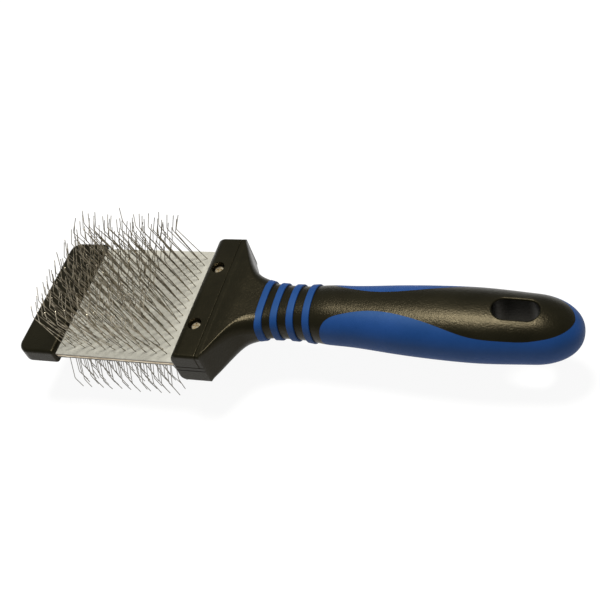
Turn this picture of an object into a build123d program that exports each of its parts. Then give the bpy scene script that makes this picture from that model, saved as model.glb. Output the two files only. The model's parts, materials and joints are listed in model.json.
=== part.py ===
from build123d import *
import math
import os

# A slicker brush with two pin pads back to back on a flexing head.
# Millimetres. +X runs from the head towards the handle's butt, +Y across, +Z up.
# The origin is the middle of the whole brush, and the two pads meet on z = 0.
# A "distance" is measured along +X from the clamp's face, where the pads come out.

# ---- whole brush ----
CLAMP_TO_BUTT = 145.9
CLAMP_TO_HEAD_END = 74.0
CLAMP_X = (CLAMP_TO_HEAD_END - CLAMP_TO_BUTT) / 2
HANDLE_DROOP = 1.55  # degrees that the handle falls away from the pads' plane
DROOP_START = 20.0

# ---- pads: two spring plates in the middle, a pin cloth on each ----
PAD_WIDTH = 56.5
PLATE_THICKNESS = 0.4
CLOTH_THICKNESS = 0.8
PAD_HALF = PLATE_THICKNESS + CLOTH_THICKNESS
PAD_ROOT = 8.2  # distance of the end held in the clamp
PAD_TIP = -71.8  # distance of the end held in the end cap

# ---- pins ----
WIRE = 0.4
FIRST_COLUMN = -7.0
COLUMN_PITCH = 4.64
COLUMNS = 11
PINS_ACROSS = 14
ROW_PITCH = 3.73
BEND = Vector(-6.1, 0, 18.8)  # from where a pin leaves the cloth to its bend
TIP = Vector(-3.2, 0, 26.8)  # from where a pin leaves the cloth to its tip
LOWER_BEND = Vector(-7.2, 0, 21.0)  # the same on the lower pad, before it is mirrored,
LOWER_TIP = Vector(-5.9, 0, 26.8)  # where the tips are shorter and turn back less
BEND_RADIUS = 1.5
HOLE_RADIUS = 0.26

# ---- clamp ----
CLAMP_WIDTH = 60.0
CLAMP_DEPTH = 9.4
CLAMP_NOSE = 2.1  # how far the rounded jaws reach out over the pads
CLAMP_HALF = 7.95
NOSE_ROUND = 4.0
LOWER_NOSE_ROUND = 2.8
EDGE_ROUND = 1.2
SEAM = 0.15
SEAM_ROUND = 0.5
SHIM_TAIL = 1.6
SHIM_ARM = 1.6
SHIM_EDGE = 0.4  # bevels that leave a dark line above and below the shim

# ---- clamp screws ----
SCREW_DISTANCE = 3.8
SCREW_SPACING = 28.4
SHANK_RADIUS = 1.2
BAR_CLEARANCE = 0.1
PAD_CLEARANCE = 0.2
HEAD_RADIUS = 2.3
HEAD_HEIGHT = 1.6
COUNTERBORE_RADIUS = 2.75
SEAT_HEIGHT = 4.8
SCREW_REACH = 6.2  # below z = 0
RECESS = (2.7, 0.55, 0.9)

# ---- end cap ----
CAP_LENGTH = 17.6
CAP_WIDTH = 58.8
CAP_HALF = 3.45
CAP_CORNER = 5.0
CAP_INNER_CORNER = 1.2
CAP_TOP_EDGE = 1.5
CAP_LOWER_EDGE = 0.6
POCKET_GAP = 0.05

# ---- yoke: distance, half width, half thickness, corner radius ----
YOKE_STATIONS = [
    (11.0, 30.0, 7.95, 1.2),
    (13.0, 26.0, 7.95, 1.8),
    (15.0, 22.4, 7.93, 2.6),
    (17.0, 19.1, 7.84, 3.4),
    (19.0, 16.4, 7.65, 4.1),
    (21.0, 14.6, 7.45, 4.7),
    (23.5, 13.4, 7.25, 5.3),
    (26.0, 12.7, 7.05, 5.7),
    (28.0, 12.2, 6.95, 6.0),
]

# ---- handle: distance, half width, half thickness, squareness of the oval ----
HANDLE_STATIONS = [
    (27.0, 12.2, 6.95, 2.9),
    (30.0, 11.1, 7.25, 2.85),
    (33.0, 10.6, 7.6, 2.75),
    (39.5, 10.45, 8.4, 2.4),
    (46.0, 10.65, 9.0, 2.3),
    (48.5, 11.0, 9.4, 2.25),
    (51.5, 11.35, 9.75, 2.25),
    (60.0, 11.6, 10.1, 2.25),
    (78.0, 13.0, 10.7, 2.25),
    (96.0, 14.05, 11.15, 2.25),
    (112.0, 14.15, 11.15, 2.25),
    (127.9, 12.9, 10.9, 2.25),
    (145.9, 12.0, 10.8, 2.25),
]
DOME_START = 127.9
DOME_STEPS = 7
DOME_POWER = 2.2
DOME_LAST = 0.5  # steps that the last section stops short of the tip
OVAL_POINTS = 24

# ---- grip: sleeve and rings ----
SLEEVE_THICKNESS = 1.6
SLEEVE_START = 46.0
RING_DISTANCES = [26.45, 32.55, 39.05, 45.55]
RING_WIDTH = 2.9
RING_PROUD = 0.65
RING_SUNK = 0.8
RING_ROUND = 0.35

# Half of the bare panel's outline, from the neck to the butt: distance, half width
PANEL_EDGE = [
    (51.3, 13.5),
    (52.0, 11.6),
    (55.2, 8.2),
    (60.5, 6.2),
    (72.0, 4.5),
    (84.0, 5.8),
    (96.0, 8.7),
    (108.0, 11.4),
    (120.0, 11.5),
    (132.5, 10.0),
    (138.5, 7.3),
    (142.0, 3.4),
    (143.0, 0.0),
]

# ---- hang slot ----
SLOT_DISTANCE = 123.2
SLOT_LENGTH = 16.5
SLOT_WIDTH = 9.0
SLOT_ROUND = 0.6


def at(distance):
    """The x of a distance from the clamp's face."""
    return CLAMP_X + distance


def axis_height(distance):
    """The height of the handle's axis, which falls gently from the yoke's neck to the butt."""
    return -max(0, distance - DROOP_START) * math.tan(math.radians(HANDLE_DROOP))


def handle_profile(distance, inset):
    """Half width, half thickness and squareness of the handle, set in by a skin."""
    after = next(i for i, row in enumerate(HANDLE_STATIONS) if row[0] >= distance)
    near, far = HANDLE_STATIONS[max(after - 1, 0)], HANDLE_STATIONS[after]
    share = 0 if near is far else (distance - near[0]) / (far[0] - near[0])
    half_width, half_thickness, squareness = [
        a + share * (b - a) for a, b in zip(near[1:], far[1:])
    ]
    dome = max(0, distance - DOME_START) / (CLAMP_TO_BUTT - inset - DOME_START)
    rounding = (1 - dome**DOME_POWER) ** (1 / DOME_POWER)
    return (half_width - inset) * rounding, (half_thickness - inset) * rounding, squareness


def oval_points(half_width, half_thickness, squareness):
    """Points round a superellipse, for one smooth closed curve."""
    points = []
    for i in range(OVAL_POINTS):
        turn = 2 * math.pi * i / OVAL_POINTS
        c, s = math.cos(turn), math.sin(turn)
        y = math.copysign(abs(c) ** (2 / squareness), c) * half_width
        z = math.copysign(abs(s) ** (2 / squareness), s) * half_thickness
        points.append((y, z))
    return points


def across(distance):
    """The plane across the handle, centred on its axis."""
    return Plane.YZ.offset(at(distance)) * Pos(0, axis_height(distance), 0)


def handle_section(distance, inset=0.0):
    """One oval section of the handle, for a loft."""
    with BuildSketch(across(distance)) as section:
        with BuildLine():
            Spline(*oval_points(*handle_profile(distance, inset)), periodic=True)
        make_face()
    return section.sketch


def handle_sections(first, inset=0.0):
    """All sections from a distance to the rounded butt."""
    distances = [row[0] for row in HANDLE_STATIONS[:-1] if row[0] >= first]
    for step in range(1, DOME_STEPS + 1):
        share = math.sin(0.5 * math.pi * step / (DOME_STEPS + DOME_LAST))
        distances.append(DOME_START + share * (CLAMP_TO_BUTT - inset - DOME_START))
    return [handle_section(distance, inset) for distance in distances]


def jaw(side, depth, nose_round):
    """One jaw of the clamp, above or below the pads: a profile with a rounded nose, run across."""
    with BuildPart() as block:
        with BuildSketch(Plane.XZ.offset(-CLAMP_WIDTH / 2)) as profile:
            middle = side * (PAD_HALF + CLAMP_HALF) / 2
            with Locations((at((depth - CLAMP_NOSE) / 2), middle)):
                Rectangle(depth + CLAMP_NOSE, CLAMP_HALF - PAD_HALF)
            front = profile.vertices().group_by(Axis.X)[0]
            fillet(front.sort_by(Axis.Y)[-1 if side > 0 else 0], nose_round)
        extrude(amount=CLAMP_WIDTH)
        ends = block.faces().filter_by(Axis.Y).edges()
        outside = ends.filter_by(lambda edge: abs(edge.center().Z) > PAD_HALF + SEAM)
        fillet(outside.filter_by(lambda edge: edge.center().X < at(depth) - SEAM), EDGE_ROUND)
    return block.part


def screw_places(height):
    """The two screw axes at a height."""
    return [(at(SCREW_DISTANCE), side * SCREW_SPACING / 2, height) for side in (-1, 1)]


def column_places(column, height):
    """A full column of pins and the staggered column behind it, as points on the cloth."""
    x = at(FIRST_COLUMN - column * COLUMN_PITCH)
    places = []
    for i in range(PINS_ACROSS):
        places.append((x, (i - (PINS_ACROSS - 1) / 2) * ROW_PITCH, height))
    if column < COLUMNS - 1:
        for i in range(PINS_ACROSS - 1):
            y = (i - (PINS_ACROSS - 2) / 2) * ROW_PITCH
            places.append((x - COLUMN_PITCH / 2, y, height))
    return places


def save(piece, name):
    """Label a finished piece and write it."""
    piece.part.label = name
    export_step(piece.part, f"parts/{name}.step")


os.makedirs("parts", exist_ok=True)

# ---- handle blank: the neck, body and butt as one oval loft ----
with BuildPart() as handle_blank:
    add(handle_sections(HANDLE_STATIONS[0][0]))
    loft()

# ---- grip sleeve: the blank's skin outside the bare panels, closed round the butt ----
with BuildPart() as grip_sleeve:
    add(handle_blank.part)
    add(handle_sections(SLEEVE_START, SLEEVE_THICKNESS))
    loft(mode=Mode.SUBTRACT)
    with BuildSketch(Plane.XY.offset(-CLAMP_WIDTH)):
        with BuildLine():
            edge = Spline(*[(at(distance), half) for distance, half in PANEL_EDGE])
            neck = at(RING_DISTANCES[0])
            Polyline(edge @ 0, (neck, PANEL_EDGE[0][1]), (neck, 0))
            mirror(about=Plane.XZ)
        make_face()
    extrude(amount=2 * CLAMP_WIDTH, mode=Mode.SUBTRACT)
save(grip_sleeve, "grip_sleeve")

# ---- rings moulded into grooves round the neck ----
rings = []
for number, start in enumerate(RING_DISTANCES, 1):
    with BuildPart() as ring:
        add(handle_section(start, -RING_PROUD))
        add(handle_section(start + RING_WIDTH, -RING_PROUD))
        loft(ruled=True)
        fillet(ring.edges().filter_by(GeomType.LINE, reverse=True), RING_ROUND)
        add(handle_section(start, RING_SUNK))
        add(handle_section(start + RING_WIDTH, RING_SUNK))
        loft(ruled=True, mode=Mode.SUBTRACT)
    save(ring, f"grip_ring_{number}")
    rings.append(ring)

# ---- handle core: lower jaw, yoke, neck, bare panels and hang slot in one moulding ----
with BuildPart() as handle_core:
    add(handle_blank.part)
    for distance, half_width, half_thickness, corner in YOKE_STATIONS:
        with BuildSketch(across(distance)):
            RectangleRounded(2 * half_width, 2 * half_thickness, corner)
    loft()
    # the square shoulder behind the jaws
    with BuildSketch(across(YOKE_STATIONS[0][0])):
        RectangleRounded(CLAMP_WIDTH, 2 * CLAMP_HALF, EDGE_ROUND)
    extrude(amount=CLAMP_DEPTH - YOKE_STATIONS[0][0])
    add(jaw(-1, CLAMP_DEPTH, LOWER_NOSE_ROUND))
    # room for the shim's tail
    with Locations((at(CLAMP_DEPTH + SHIM_TAIL / 2), 0, 0)):
        Box(SHIM_TAIL, CLAMP_WIDTH, 2 * PAD_HALF, mode=Mode.SUBTRACT)
    # pilot holes for the screws
    with Locations(*screw_places(-PAD_HALF)):
        Hole(SHANK_RADIUS, SCREW_REACH - PAD_HALF)
    # hang slot
    with BuildSketch(Plane.XY.offset(-CLAMP_WIDTH)):
        with Locations((at(SLOT_DISTANCE), 0)):
            SlotOverall(SLOT_LENGTH, SLOT_WIDTH)
    before = handle_core.edges()
    extrude(amount=2 * CLAMP_WIDTH, mode=Mode.SUBTRACT)
    rims = handle_core.edges() - before
    fillet(rims.filter_by(GeomType.LINE, reverse=True), SLOT_ROUND)
    add(grip_sleeve.part, mode=Mode.SUBTRACT)
    for ring in rings:
        add(ring.part, mode=Mode.SUBTRACT)
save(handle_core, "handle_core")

# ---- clamp bar: the upper jaw, with counterbored screw holes ----
with BuildPart() as clamp_bar:
    add(jaw(1, CLAMP_DEPTH - SEAM, NOSE_ROUND))
    fillet(clamp_bar.faces().sort_by(Axis.Z)[-1].edges().sort_by(Axis.X)[-1], SEAM_ROUND)
    with Locations(*screw_places(CLAMP_HALF)):
        CounterBoreHole(
            SHANK_RADIUS + BAR_CLEARANCE,
            COUNTERBORE_RADIUS,
            CLAMP_HALF - SEAT_HEIGHT,
        )
save(clamp_bar, "clamp_bar")

# ---- clamp shim: a thin fork round the pads' root, with a tail in the yoke ----
with BuildPart() as clamp_shim:
    with BuildSketch(Plane.XY.offset(-PAD_HALF)) as fork:
        with Locations((at((CLAMP_DEPTH + SHIM_TAIL - CLAMP_NOSE) / 2), 0)):
            Rectangle(CLAMP_DEPTH + SHIM_TAIL + CLAMP_NOSE, CLAMP_WIDTH)
        fillet(fork.vertices().group_by(Axis.X)[0], EDGE_ROUND)
        with Locations((at((PAD_ROOT - CLAMP_NOSE) / 2), 0)):
            Rectangle(PAD_ROOT + CLAMP_NOSE, CLAMP_WIDTH - 2 * SHIM_ARM, mode=Mode.SUBTRACT)
    extrude(amount=2 * PAD_HALF)
    ends = [clamp_shim.faces().filter_by(Axis.Y).sort_by(Axis.Y)[place] for place in (0, -1)]
    chamfer([edge for end in ends for edge in end.edges().filter_by(Axis.X)], SHIM_EDGE)
save(clamp_shim, "clamp_shim")

# ---- clamp screws: pan heads with a cross recess, the threads left plain ----
with BuildPart() as clamp_screws:
    with Locations(*screw_places(SEAT_HEIGHT)):
        Cylinder(HEAD_RADIUS, HEAD_HEIGHT, align=(Align.CENTER, Align.CENTER, Align.MIN))
    fillet(clamp_screws.edges().group_by(Axis.Z)[-1], HEAD_HEIGHT / 2)
    with Locations(*screw_places(SEAT_HEIGHT)):
        Cylinder(
            SHANK_RADIUS,
            SEAT_HEIGHT + SCREW_REACH,
            align=(Align.CENTER, Align.CENTER, Align.MAX),
        )
    for turn in (0, 90):
        with Locations(*screw_places(SEAT_HEIGHT + HEAD_HEIGHT)):
            Box(*RECESS, rotation=(0, 0, turn), mode=Mode.SUBTRACT)
save(clamp_screws, "clamp_screws")


def pad_layer(name, low, high, bend=None):
    """One layer of the pads: a thin sheet with screw holes and, in a cloth, its pins' holes."""
    with BuildPart() as layer:
        with BuildSketch(Plane.XY.offset(low)):
            with Locations((at((PAD_ROOT + PAD_TIP) / 2), 0)):
                Rectangle(PAD_ROOT - PAD_TIP, PAD_WIDTH)
            with Locations(*screw_places(0)):
                Circle(SHANK_RADIUS + PAD_CLEARANCE, mode=Mode.SUBTRACT)
        extrude(amount=high - low)
        if bend:
            # the holes lean with the pins, and meet them at the cloth's outer face
            side = 1 if high > 0 else -1
            outer = high if side > 0 else low
            lean = Vector(bend.X, 0, side * bend.Z)
            with BuildSketch(Plane.XY.offset(outer)):
                for column in range(COLUMNS):
                    with Locations(*column_places(column, 0)):
                        Circle(HOLE_RADIUS)
            extrude(dir=-lean, amount=2 * CLOTH_THICKNESS, mode=Mode.SUBTRACT)
    save(layer, name)


pad_layer("spring_plate_top", 0, PLATE_THICKNESS)
pad_layer("spring_plate_bottom", -PLATE_THICKNESS, 0)
pad_layer("pin_cloth_top", PLATE_THICKNESS, PAD_HALF, BEND)
pad_layer("pin_cloth_bottom", -PAD_HALF, -PLATE_THICKNESS, LOWER_BEND)

# ---- end cap: a rounded channel closed at both sides, over the pads' free end ----
with BuildPart() as end_cap:
    with BuildSketch(Plane.XY.offset(-CAP_HALF)) as cap_outline:
        with Locations((at(CAP_LENGTH / 2 - CLAMP_TO_HEAD_END), 0)):
            Rectangle(CAP_LENGTH, CAP_WIDTH)
        fillet(cap_outline.vertices().group_by(Axis.X)[0], CAP_CORNER)
        fillet(cap_outline.vertices().group_by(Axis.X)[-1], CAP_INNER_CORNER)
    extrude(amount=2 * CAP_HALF)
    fillet(end_cap.edges().group_by(Axis.Z)[0], CAP_LOWER_EDGE)
    fillet(end_cap.edges().group_by(Axis.Z)[-1], CAP_TOP_EDGE)
    with Locations((at(PAD_TIP - POCKET_GAP), 0, 0)):
        Box(
            CAP_LENGTH,
            PAD_WIDTH + 2 * POCKET_GAP,
            2 * (PAD_HALF + POCKET_GAP),
            align=(Align.MIN, Align.CENTER, Align.CENTER),
            mode=Mode.SUBTRACT,
        )
save(end_cap, "end_cap")


def bent_pin(bend, tip):
    """A bent wire that stands on a plate, leans away from the clamp and turns back to its tip."""
    slope = bend.X / bend.Z
    foot = PLATE_THICKNESS + WIRE / 5 - PAD_HALF
    with BuildPart() as pin:
        with BuildLine(Plane.XZ) as wire:
            FilletPolyline(
                (slope * foot, foot),
                (bend.X, bend.Z),
                (tip.X, tip.Z),
                radius=BEND_RADIUS,
            )
        with BuildSketch(Plane(origin=wire.line @ 0, z_dir=wire.line % 0)):
            Circle(WIRE / 2)
        sweep()
    return pin.part


def pin_column(pin, column):
    """The pins of one column on the upper pad."""
    with BuildPart() as pins:
        with Locations(*column_places(column, PAD_HALF)):
            add(pin, clean=False)
    return pins.part


# ---- pins, a node for each column of each pad ----
upper_pin = bent_pin(BEND, TIP)
lower_pin = bent_pin(LOWER_BEND, LOWER_TIP)
for column in range(COLUMNS):
    with BuildPart() as pins_top:
        add(pin_column(upper_pin, column), clean=False)
    save(pins_top, f"pins_top_{column + 1:02d}")
    with BuildPart() as pins_bottom:
        mirrored = mirror(pin_column(lower_pin, column), about=Plane.XY, mode=Mode.PRIVATE)
        add(mirrored, clean=False)
    save(pins_bottom, f"pins_bottom_{column + 1:02d}")
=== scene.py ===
import json
import math
import random

import bmesh
import bpy
import numpy as np
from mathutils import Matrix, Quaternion, Vector, kdtree, noise


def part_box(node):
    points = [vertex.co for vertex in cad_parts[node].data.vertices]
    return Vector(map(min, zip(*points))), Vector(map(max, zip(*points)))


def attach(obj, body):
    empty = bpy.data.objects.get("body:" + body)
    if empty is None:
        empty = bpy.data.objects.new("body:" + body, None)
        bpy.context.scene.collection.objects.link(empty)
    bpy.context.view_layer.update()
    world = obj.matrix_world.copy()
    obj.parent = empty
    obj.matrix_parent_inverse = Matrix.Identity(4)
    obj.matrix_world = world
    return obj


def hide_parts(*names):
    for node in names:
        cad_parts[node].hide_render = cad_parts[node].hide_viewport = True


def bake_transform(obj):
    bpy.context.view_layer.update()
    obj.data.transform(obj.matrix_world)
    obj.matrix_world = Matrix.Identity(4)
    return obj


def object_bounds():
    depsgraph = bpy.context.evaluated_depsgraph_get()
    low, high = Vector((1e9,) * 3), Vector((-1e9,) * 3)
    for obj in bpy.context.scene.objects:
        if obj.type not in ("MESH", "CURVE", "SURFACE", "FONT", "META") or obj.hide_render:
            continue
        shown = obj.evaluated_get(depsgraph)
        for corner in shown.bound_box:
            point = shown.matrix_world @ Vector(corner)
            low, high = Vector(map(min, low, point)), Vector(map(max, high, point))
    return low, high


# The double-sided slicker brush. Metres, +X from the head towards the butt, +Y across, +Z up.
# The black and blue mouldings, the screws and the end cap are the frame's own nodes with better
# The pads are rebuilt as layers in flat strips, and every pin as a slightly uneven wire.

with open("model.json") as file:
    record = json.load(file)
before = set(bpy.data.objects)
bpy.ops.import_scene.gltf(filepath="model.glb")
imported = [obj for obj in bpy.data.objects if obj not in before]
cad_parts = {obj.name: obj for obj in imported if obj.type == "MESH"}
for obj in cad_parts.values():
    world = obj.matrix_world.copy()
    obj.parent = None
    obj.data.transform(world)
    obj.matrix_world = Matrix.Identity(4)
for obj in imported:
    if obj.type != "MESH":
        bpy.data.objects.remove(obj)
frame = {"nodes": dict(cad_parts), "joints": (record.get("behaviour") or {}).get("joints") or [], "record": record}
cad_low, cad_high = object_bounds()
random.seed(11)
MM = 0.001


# ------------------------------------------------------------------ materials


class Paint:
    """A procedural material: a Principled shader and short calls for the nodes that feed it."""

    def __init__(self, name, roughness, **sockets):
        self.material = bpy.data.materials.new(name)
        self.material.use_nodes = True
        tree = self.material.node_tree
        self.nodes, self.links = tree.nodes, tree.links
        self.shader = tree.nodes["Principled BSDF"]
        self.set(Roughness=roughness, **sockets)
        self.place = self.nodes.new("ShaderNodeTexCoord").outputs["Object"]

    def set(self, **sockets):
        """Constants on the shader's own sockets, with _ for the spaces in their names."""
        for socket, value in sockets.items():
            self.shader.inputs[socket.replace("_", " ")].default_value = value

    def stretch(self, x, y, z):
        """Object coordinates scaled along each axis."""
        node = self.nodes.new("ShaderNodeMapping")
        node.inputs["Scale"].default_value = (x, y, z)
        self.links.new(self.place, node.inputs["Vector"])
        return node.outputs["Vector"]

    def noise(self, scale, detail=3.0, roughness=0.5, where=None):
        """Noise with about scale grains to the metre."""
        node = self.nodes.new("ShaderNodeTexNoise")
        node.inputs["Scale"].default_value = scale
        node.inputs["Detail"].default_value = detail
        node.inputs["Roughness"].default_value = roughness
        self.links.new(where or self.place, node.inputs["Vector"])
        return node.outputs["Fac"]

    def ramp(self, source, *stops):
        """A colour ramp through (position, colour) stops."""
        node = self.nodes.new("ShaderNodeValToRGB")
        elements = node.color_ramp.elements
        while len(elements) < len(stops):
            elements.new(0.5)
        for element, (position, colour) in zip(elements, stops):
            element.position = position
            element.color = (*colour, 1)
        self.links.new(source, node.inputs["Fac"])
        return node.outputs["Color"]

    def span(self, source, low, high):
        """A value from 0..1 spread over low..high."""
        node = self.nodes.new("ShaderNodeMapRange")
        node.inputs["To Min"].default_value = low
        node.inputs["To Max"].default_value = high
        self.links.new(source, node.inputs["Value"])
        return node.outputs["Result"]

    def colour(self, source, *stops):
        """The base colour, from a ramp through (position, colour) stops."""
        self.links.new(self.ramp(source, *stops), self.shader.inputs["Base Color"])

    def gloss(self, source, low, high):
        """Roughness that drifts between low and high."""
        self.links.new(self.span(source, low, high), self.shader.inputs["Roughness"])

    def bump(self, *layers):
        """Bumps from (source, depth in metres) layers, one on top of another."""
        normal = None
        for source, depth in layers:
            node = self.nodes.new("ShaderNodeBump")
            node.inputs["Distance"].default_value = depth
            self.links.new(source, node.inputs["Height"])
            if normal:
                self.links.new(normal, node.inputs["Normal"])
            normal = node.outputs["Normal"]
        self.links.new(normal, self.shader.inputs["Normal"])


def black_plastic():
    """Satin black moulding with an olive-brown cast and a very fine spark-eroded grain."""
    sheen = {"Specular_Tint": (1.0, 0.84, 0.52, 1), "Specular_IOR_Level": 0.16}
    paint = Paint("black_plastic", 0.3, **sheen)
    drift = paint.noise(55, detail=4, roughness=0.6)
    paint.colour(drift, (0.30, (0.003, 0.003, 0.0015)), (0.75, (0.007, 0.0065, 0.0035)))
    scuffs = paint.noise(700, detail=6, roughness=0.65, where=paint.stretch(0.35, 1, 1))
    paint.gloss(scuffs, 0.24, 0.36)
    grain = paint.noise(1600, detail=3, roughness=0.6)
    paint.bump((grain, 0.10 * MM), (paint.noise(240, detail=3), 0.03 * MM))
    return paint.material


def blue_rubber():
    """Matte navy overmould with a soft orange-peel surface."""
    sheen = {"Specular_Tint": (0.55, 0.85, 1.0, 1), "Specular_IOR_Level": 0.22}
    paint = Paint("blue_rubber", 0.56, **sheen)
    drift = paint.noise(70, detail=4, roughness=0.6)
    paint.colour(drift, (0.30, (0.003, 0.026, 0.105)), (0.75, (0.007, 0.035, 0.138)))
    paint.gloss(paint.noise(900, detail=5, roughness=0.6), 0.48, 0.64)
    peel = paint.noise(3600, detail=3)
    paint.bump((peel, 0.018 * MM), (paint.noise(420, detail=2), 0.02 * MM))
    return paint.material


def felt():
    """Light warm-grey card cloth: short fibres in two directions over soft mottling."""
    paint = Paint("felt", 0.92, Sheen_Weight=0.35, Sheen_Roughness=0.6, Specular_IOR_Level=0.2)
    mottling = paint.noise(420, detail=6, roughness=0.7)
    paint.colour(
        mottling,
        (0.25, (0.205, 0.20, 0.172)),
        (0.50, (0.27, 0.265, 0.228)),
        (0.78, (0.33, 0.325, 0.285)),
    )
    along = paint.noise(2600, detail=5, roughness=0.7, where=paint.stretch(0.25, 1.4, 1))
    cross = paint.noise(2600, detail=5, roughness=0.7, where=paint.stretch(1.4, 0.25, 1))
    paint.bump((along, 0.06 * MM), (cross, 0.06 * MM), (mottling, 0.08 * MM))
    return paint.material


def cut_edge(name, dark, middle, light):
    """The cloth's cut side: thin plies of cloth and rubber, torn a little along their length."""
    paint = Paint(name, 0.5)
    plies = paint.noise(900, detail=5, roughness=0.7, where=paint.stretch(0.35, 1, 3.5))
    paint.colour(plies, (0.32, dark), (0.50, middle), (0.68, light))
    paint.gloss(paint.noise(1300, detail=3), 0.35, 0.7)
    paint.bump((plies, 0.08 * MM))
    return paint.material


def spring_strip():
    """Bronzed spring strip with rolling lines along its length and heat-coloured patches."""
    paint = Paint("spring_strip", 0.3, Metallic=1.0)
    patches = paint.noise(160, detail=5, roughness=0.7, where=paint.stretch(1, 0.3, 1))
    paint.colour(
        patches,
        (0.30, (0.26, 0.20, 0.13)),
        (0.50, (0.60, 0.51, 0.37)),
        (0.72, (0.76, 0.71, 0.59)),
    )
    lines = paint.noise(2200, detail=4, roughness=0.6, where=paint.stretch(0.05, 1, 1))
    paint.gloss(lines, 0.22, 0.46)
    paint.bump((lines, 0.015 * MM))
    return paint.material


def pin_wire(name, dull, bright):
    """Drawn steel wire with fine draw marks along the pin and slight dulling."""
    paint = Paint(name, 0.3, Metallic=1.0)
    paint.colour(paint.noise(420, detail=4, roughness=0.6), (0.38, dull), (0.62, bright))
    marks = paint.noise(6000, detail=3, roughness=0.6, where=paint.stretch(1, 1, 0.08))
    paint.gloss(marks, 0.22, 0.42)
    paint.bump((marks, 0.008 * MM))
    return paint.material


def screw_plating():
    """Bright yellowish plating with uneven gloss and tiny dents."""
    paint = Paint("screw_plating", 0.2, Metallic=1.0)
    tone = paint.noise(900, detail=4, roughness=0.6)
    paint.colour(tone, (0.35, (0.62, 0.50, 0.30)), (0.65, (0.86, 0.78, 0.60)))
    paint.gloss(paint.noise(3000, detail=4, roughness=0.6), 0.16, 0.34)
    paint.bump((paint.noise(2500, detail=4), 0.02 * MM))
    return paint.material


BLACK, BLUE, FELT = black_plastic(), blue_rubber(), felt()
STRIP, PLATING = spring_strip(), screw_plating()
# In the tables below, 1 is the upper side of the head and -1 the lower side, which is in shade. The -1 wire and
# cut edge are darker copies of the upper ones: painted shade.
WIRES = {
    1: pin_wire("pin_wire", dull=(0.11, 0.096, 0.07), bright=(0.50, 0.44, 0.335)),
    # painted shade: the same drawn steel, darkened for the lower pins
    -1: pin_wire("pin_wire_painted_shade", dull=(0.10, 0.095, 0.08), bright=(0.22, 0.20, 0.165)),
}
CUT_EDGES = {
    1: cut_edge("tan_edge", (0.045, 0.026, 0.015), (0.15, 0.10, 0.06), (0.34, 0.27, 0.18)),
    # painted shade: the same plies, darkened to near black for the lower cloth's cut edge
    -1: cut_edge("cut_edge_painted_shade", (0.003, 0.003, 0.002), (0.008, 0.007, 0.005), (0.025, 0.02, 0.014)),
}


def repaint(names, material):
    """Gives frame nodes a better material in all their slots."""
    for name in names:
        for slot in frame["nodes"][name].material_slots:
            slot.material = material


repaint(["handle_core", "clamp_bar", "clamp_shim", "end_cap"], BLACK)
repaint(["grip_sleeve", "grip_ring_1", "grip_ring_2", "grip_ring_3", "grip_ring_4"], BLUE)
repaint(["clamp_screws"], PLATING)


# ------------------------------------------------------------------ pieces


SHARP_EDGE = math.radians(40)
WELD = 0.001 * MM


def new_piece(name, vertices, faces, materials, painted=None, smooth=True):
    """A mesh piece; painted gives each face's material where there are several."""
    mesh = bpy.data.meshes.new(name)
    mesh.from_pydata(vertices, [], faces)
    for material in materials:
        mesh.materials.append(material)
    if painted:
        mesh.polygons.foreach_set("material_index", painted)
    if smooth:
        mesh.shade_smooth()
        mesh.set_sharp_from_angle(angle=SHARP_EDGE)
    piece = bpy.data.objects.new(name, mesh)
    bpy.context.scene.collection.objects.link(piece)
    return piece


def loose_parts(node):
    """The points of each loose part of a frame node."""
    mesh = bmesh.new()
    mesh.from_mesh(frame["nodes"][node].data)
    bmesh.ops.remove_doubles(mesh, verts=mesh.verts, dist=WELD)
    seen, parts = set(), []
    for start in mesh.verts:
        if start in seen:
            continue
        part, stack = [], [start]
        seen.add(start)
        while stack:
            vertex = stack.pop()
            part.append(vertex.co.copy())
            for edge in vertex.link_edges:
                other = edge.other_vert(vertex)
                if other not in seen:
                    seen.add(other)
                    stack.append(other)
        parts.append(part)
    mesh.free()
    return parts


def smooth_step(value, start, end):
    """0 at start and 1 at end, with a soft passage between them."""
    t = min(max((value - start) / (end - start), 0), 1)
    return t * t * (3 - 2 * t)


# ------------------------------------------------------------------ pins

PIN_SIDES = 8
WIRE_RADIUS = 0.155 * MM
BEND_STEPS = 5
BEND_TRIM = 0.7 * MM  # how far from a pin's corner its bend starts and ends
TAPER_LENGTH = 1.5 * WIRE_RADIUS
TIP_TAPER = 0.55

SOLID_RADIUS = 0.2 * MM  # of the pins in the frame
BEND_SKIN = 1.05 * SOLID_RADIUS  # from such a pin's axis to its skin at the bend
BEND_SHARE = {1: 0.7015, -1: 0.7836}  # the bend's height as a share of the pin's
FOOT_BAND = 0.12 * MM  # points this close to a pin's inner end are its foot's
TIP_BAND = 0.10 * MM

LEAN_SPREAD = {1: 0.034, -1: 0.012}  # a share of the length up to the bend
TIP_SPREAD = {1: 0.055, -1: 0.030}  # a share of the length past it
STRAY_SHARE, STRAY_GAIN = 0.06, 2.3  # a few pins lean this many times more
TIP_BACK = {1: 1.0 * MM, -1: 0.0}  # the upper tips are worn back towards the handle
SPLAY = {1: math.radians(8.5), -1: 0.0}  # above, the rows at the near edge are pushed outwards
CLOTH_LOW, CLOTH_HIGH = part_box("pin_cloth_top")
SPLAY_FROM, SPLAY_FULL = CLOTH_LOW.y + 7.95 * MM, CLOTH_LOW.y + 6.35 * MM
LAST_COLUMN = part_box("pins_top_11")[1].x
COLUMN_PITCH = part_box("pins_top_10")[1].x - LAST_COLUMN


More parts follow.
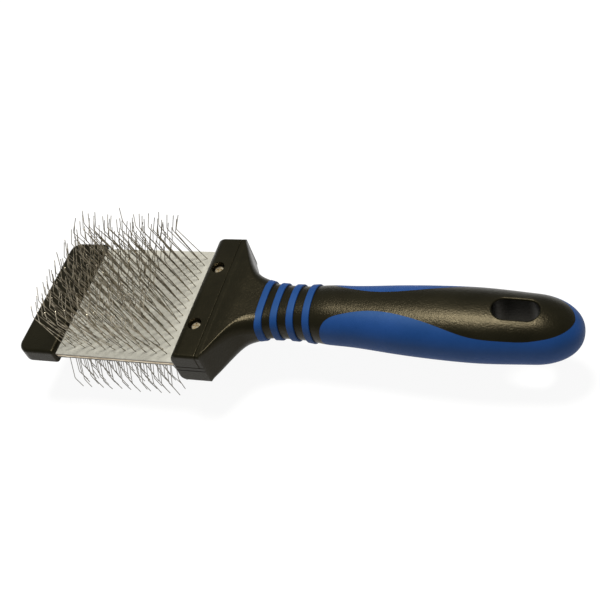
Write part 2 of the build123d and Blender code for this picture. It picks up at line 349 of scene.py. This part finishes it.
def pin_line(points):
    """The foot, bend and tip of a wire from its solid's points."""
    points = np.array(points)
    away = np.abs(points[:, 2])
    foot = points[away < away.min() + FOOT_BAND].mean(0)
    tip = points[away > away.max() - TIP_BAND].mean(0)
    side = 1 if tip[2] > 0 else -1
    height = abs(foot[2]) + (abs(tip[2]) - abs(foot[2])) * BEND_SHARE[side]
    bend = Vector((points[:, 0].min() + BEND_SKIN, foot[1], side * height))
    return Vector(foot), bend, Vector(tip)


def scatter():
    """A random step across a pin, with a spread of 1."""
    return Vector((random.gauss(0, 1), random.gauss(0, 1), 0))


def uneven(foot, bend, tip):
    """A used pin isn't quite in line: it leans a little, and its tip a little more."""
    side = 1 if tip.z > 0 else -1
    turn = SPLAY[side] * smooth_step(foot.y, SPLAY_FROM, SPLAY_FULL)
    turn *= smooth_step(foot.x, LAST_COLUMN, LAST_COLUMN + COLUMN_PITCH)
    splay = Quaternion((1, 0, 0), turn)
    tip = tip + Vector((TIP_BACK[side], 0, 0))
    bend, tip = foot + splay @ (bend - foot), foot + splay @ (tip - foot)
    stray = STRAY_GAIN if random.random() < STRAY_SHARE else 1.0
    lean = scatter() * LEAN_SPREAD[side] * (bend - foot).length * stray
    twist = scatter() * TIP_SPREAD[side] * (tip - bend).length * stray
    return foot, bend + lean, tip + lean + twist


def wire_path(foot, bend, tip):
    """A wire's centre line, rounded at the bend."""
    down, up = (foot - bend).normalized(), (tip - bend).normalized()
    path = [foot, foot.lerp(bend, 0.5)]
    first, last = bend + down * BEND_TRIM, bend + up * BEND_TRIM
    for step in range(BEND_STEPS + 1):
        t = step / BEND_STEPS
        path.append(first * (1 - t) ** 2 + bend * 2 * t * (1 - t) + last * t * t)
    path += [tip - up * TAPER_LENGTH, tip]
    return path


def tube(path, vertices, faces):
    """Adds a closed wire along a path that stays nearly in one plane."""
    base = len(vertices)
    for index, point in enumerate(path):
        before, after = path[max(index - 1, 0)], path[min(index + 1, len(path) - 1)]
        along = (after - before).normalized()
        side = along.cross(Vector((0, 1, 0))).normalized()
        across = along.cross(side)
        radius = WIRE_RADIUS * (TIP_TAPER if index == len(path) - 1 else 1)
        for corner in range(PIN_SIDES):
            turn = 2 * math.pi * corner / PIN_SIDES
            vertices.append(point + (side * math.cos(turn) + across * math.sin(turn)) * radius)
    for ring in range(len(path) - 1):
        for corner in range(PIN_SIDES):
            a = base + ring * PIN_SIDES + corner
            b = base + ring * PIN_SIDES + (corner + 1) % PIN_SIDES
            faces.append((a, b, b + PIN_SIDES, a + PIN_SIDES))
    last = base + (len(path) - 1) * PIN_SIDES
    faces.append(tuple(base + PIN_SIDES - 1 - corner for corner in range(PIN_SIDES)))
    faces.append(tuple(last + corner for corner in range(PIN_SIDES)))


def body_of(node):
    """The body that a frame node rides on."""
    bodies = frame["record"]["behaviour"]["bodies"]
    return next(body for body, names in bodies.items() if node in names)


def where_pins_leave(foot, bend, face):
    """The point of a pin's axis on a cloth's outer face."""
    return foot.lerp(bend, (abs(face) - abs(foot.z)) / (abs(bend.z) - abs(foot.z)))


def make_wires(node, holes):
    """One column of wires for a frame node, and the holes that they leave the cloth by."""
    vertices, faces = [], []
    side = 1 if "top" in node else -1
    for part in loose_parts(node):
        foot, bend, tip = pin_line(part)
        holes[side].append(where_pins_leave(foot, bend, CLOTH_HIGH.z))
        tube(wire_path(*uneven(foot, bend, tip)), vertices, faces)
    piece = new_piece(node.replace("pins", "wires"), vertices, faces, [WIRES[side]])
    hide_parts(node)
    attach(piece, body_of(node))


holes = {1: [], -1: []}
for node in sorted(name for name in frame["nodes"] if name.startswith("pins_")):
    make_wires(node, holes)


# ------------------------------------------------------------------ pads

GRID = 0.45 * MM
EDGE_ROUND = 0.3 * MM
ROUND_STEPS = 4
FELT_UNEVEN = 0.06 * MM
FELT_WAVES, FELT_RIPPLES = 450, 1400  # to the metre
DIMPLE_DEPTH = 0.22 * MM
DIMPLE_RADIUS = 0.55 * MM
EDGE_WANDER = 0.10 * MM
WANDER_WAVES = 260  # to the metre
WANDER_REACH = 3 * GRID
LAYER_GAP = 9000  # moves each layer to its own line of the noise, by its height
HINGE_NAMES = ["head_flex_root", "head_flex_middle", "head_flex_tip"]
JOINTS = {joint["name"]: joint for joint in frame["joints"]}
HINGES = [JOINTS[name]["pos_m"][0] for name in HINGE_NAMES]
CLAMP_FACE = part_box("clamp_bar")[0].x
# The pads are cut where a length of the head is rigid, halfway between two hinges.
CUTS = [CLOTH_HIGH.x, (HINGES[0] + HINGES[1]) / 2, (HINGES[1] + HINGES[2]) / 2, CLOTH_LOW.x]
# Where each strip would start and end its bend, on the two sides of its own hinge; make_layer counts the strips by
# them but builds each strip flat.
BENDS = [(CLAMP_FACE, CUTS[1]), (CUTS[1], CUTS[2]), (CUTS[2], 2 * HINGES[2] - CUTS[2])]


def hole_tree(side):
    """Finds the hole nearest to a point of a cloth."""
    tree = kdtree.KDTree(len(holes[side]))
    for index, hole in enumerate(holes[side]):
        tree.insert((hole.x, hole.y, 0), index)
    tree.balance()
    return tree


def felt_height(x, y, tree):
    """How far the felt's face stands off its flat height: unevenness, and a dimple at each pin."""
    rise = FELT_UNEVEN * noise.noise(Vector((x, y, 0)) * FELT_WAVES)
    rise += 0.5 * FELT_UNEVEN * noise.noise(Vector((x, y, 1)) * FELT_RIPPLES)
    distance = tree.find((x, y, 0))[2]
    return rise - DIMPLE_DEPTH * math.exp(-((distance / DIMPLE_RADIUS) ** 2))


def across_points(y_half, rounded):
    """The y of each line of grid points, closer together where a felt edge rolls over."""
    steps = round(2 * y_half / GRID)
    offsets = [y_half * (2 * step / steps - 1) for step in range(steps + 1)]
    if not rounded:
        return offsets
    turns = [math.pi / 2 * step / ROUND_STEPS for step in range(ROUND_STEPS + 1)]
    roll = [y_half - EDGE_ROUND * (1 - math.sin(turn)) for turn in turns]
    inside = [y for y in offsets if abs(y) < y_half - EDGE_ROUND - GRID / 2]
    return sorted([-y for y in roll] + inside + roll)


def slab(name, x_high, x_low, layer, side, cloth, materials):
    """One strip of a layer: a gridded outer face, a plain inner face and closed edges."""
    low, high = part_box(layer)
    z_inner, z_outer = (low.z, high.z) if side > 0 else (high.z, low.z)
    columns = round((x_high - x_low) / GRID)
    offsets = across_points(high.y, cloth)
    rows, tree = len(offsets), hole_tree(side)
    vertices, faces, painted = [], [], []
    for i in range(columns + 1):
        x = x_high + (x_low - x_high) * i / columns
        wander = EDGE_WANDER * noise.noise(Vector((x * WANDER_WAVES, z_inner * LAYER_GAP, 0)))
        for y in offsets:
            z = z_outer
            if cloth:
                into = max(0.0, abs(y) - (high.y - EDGE_ROUND)) / EDGE_ROUND
                z -= side * EDGE_ROUND * (1 - math.sqrt(max(0.0, 1 - into**2)))
                z += side * felt_height(x, y, tree) * (1 - into)
            near_edge = smooth_step(abs(y), high.y - WANDER_REACH, high.y)
            vertices.append((x, y + math.copysign(wander * near_edge, y), z))
    top = len(vertices)
    vertices += [(x, y, z_inner) for x, y, z in vertices]

    def quad(a, b, c, d, material):
        faces.append((a, b, c, d) if side > 0 else (d, c, b, a))
        painted.append(material)

    for i in range(columns):
        for j in range(rows - 1):
            a = i * rows + j
            quad(a, a + rows, a + rows + 1, a + 1, 0)
            quad(top + a, top + a + 1, top + a + rows + 1, top + a + rows, 0)
    for i in range(columns):
        a, b = i * rows, i * rows + rows - 1
        quad(a, top + a, top + a + rows, a + rows, 1)
        quad(b, b + rows, top + b + rows, top + b, 1)
    for j in range(rows - 1):
        a, b = j, columns * rows + j
        quad(a, a + 1, top + a + 1, top + a, 1)
        quad(b, top + b, top + b + 1, b + 1, 1)
    return new_piece(name, vertices, faces, materials, painted)


def make_layer(layer, side, cloth, materials):
    """One layer of the pads in three flat strips, cut between the hinges."""
    for index, (start, end) in enumerate(BENDS):
        name = f"{layer}_strip_{index + 1}"
        piece = slab(name, CUTS[index], CUTS[index + 1], layer, side, cloth, materials)
        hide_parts(layer)
        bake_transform(piece)


make_layer("spring_plate_top", 1, False, [STRIP, STRIP])
make_layer("spring_plate_bottom", -1, False, [STRIP, STRIP])
make_layer("pin_cloth_top", 1, True, [FELT, CUT_EDGES[1]])
make_layer("pin_cloth_bottom", -1, True, [FELT, CUT_EDGES[-1]])


# ------------------------------------------------------------------ stage, light and camera

FLOOR_REACH = 6.0
FLOOR_GAP = 0.2 * MM
WORLD_STRENGTH = 0.30
SOFTBOX_PLACE, SOFTBOX_TARGET = Vector((-0.02, 0.10, 0.74)), Vector((0.05, 0, 0))
SOFTBOX_SIZE, SOFTBOX_POWER, SOFTBOX_COLOUR = 0.25, 10.6, (1.0, 0.98, 0.94)

# The camera was fitted to the photograph's perspective.
CAMERA_PLACE = Vector((0.14649, -0.21444, 0.27848))
CAMERA_FORWARD = Vector((-0.3742, 0.5752, -0.7274))
CAMERA_ROLL = math.radians(-22.69)
CAMERA_LENS, CAMERA_SENSOR = 59.634, 36  # mm


def make_floor():
    """A white table lit from below, so that it stays nearly free of shadow."""
    paint = Paint("floor", 0.9, Emission_Color=(1, 1, 1, 1), Emission_Strength=0.92)
    shade = paint.noise(3, detail=2)
    paint.colour(shade, (0.3, (0.07, 0.07, 0.07)), (0.7, (0.08, 0.08, 0.08)))
    reach, z = FLOOR_REACH, cad_low.z - FLOOR_GAP
    corners = [(-reach, -reach, z), (reach, -reach, z), (reach, reach, z), (-reach, reach, z)]
    floor = new_piece("floor", corners, [(0, 1, 2, 3)], [paint.material], smooth=False)


def make_world():
    """Even white light from all round."""
    world = bpy.data.worlds.new("studio")
    world.use_nodes = True
    background = world.node_tree.nodes["Background"]
    background.inputs["Color"].default_value = (1, 1, 1, 1)
    background.inputs["Strength"].default_value = WORLD_STRENGTH
    bpy.context.scene.world = world
    bpy.context.scene.view_settings.view_transform = "Standard"


def looking(forward):
    """The turn that points a light or a camera along a direction."""
    return forward.to_track_quat("-Z", "Y")


def add_to_scene(name, data, place, turn):
    """A light or a camera at its place."""
    thing = bpy.data.objects.new(name, data)
    thing.location = place
    thing.rotation_mode = "QUATERNION"
    thing.rotation_quaternion = turn
    bpy.context.scene.collection.objects.link(thing)
    return thing


def make_softbox():
    """The one lamp: a disc above and behind the brush, which draws the handle's highlight."""
    data = bpy.data.lights.new("overhead", "AREA")
    data.shape, data.size = "DISK", SOFTBOX_SIZE
    data.energy, data.color = SOFTBOX_POWER, SOFTBOX_COLOUR
    add_to_scene("overhead", data, SOFTBOX_PLACE, looking(SOFTBOX_TARGET - SOFTBOX_PLACE))


def make_camera():
    """The photograph's viewpoint."""
    data = bpy.data.cameras.new("camera")
    data.lens, data.sensor_width = CAMERA_LENS, CAMERA_SENSOR
    turn = looking(CAMERA_FORWARD) @ Quaternion((0, 0, 1), CAMERA_ROLL)
    bpy.context.scene.camera = add_to_scene("camera", data, CAMERA_PLACE, turn)


make_floor()
make_world()
make_softbox()
make_camera()
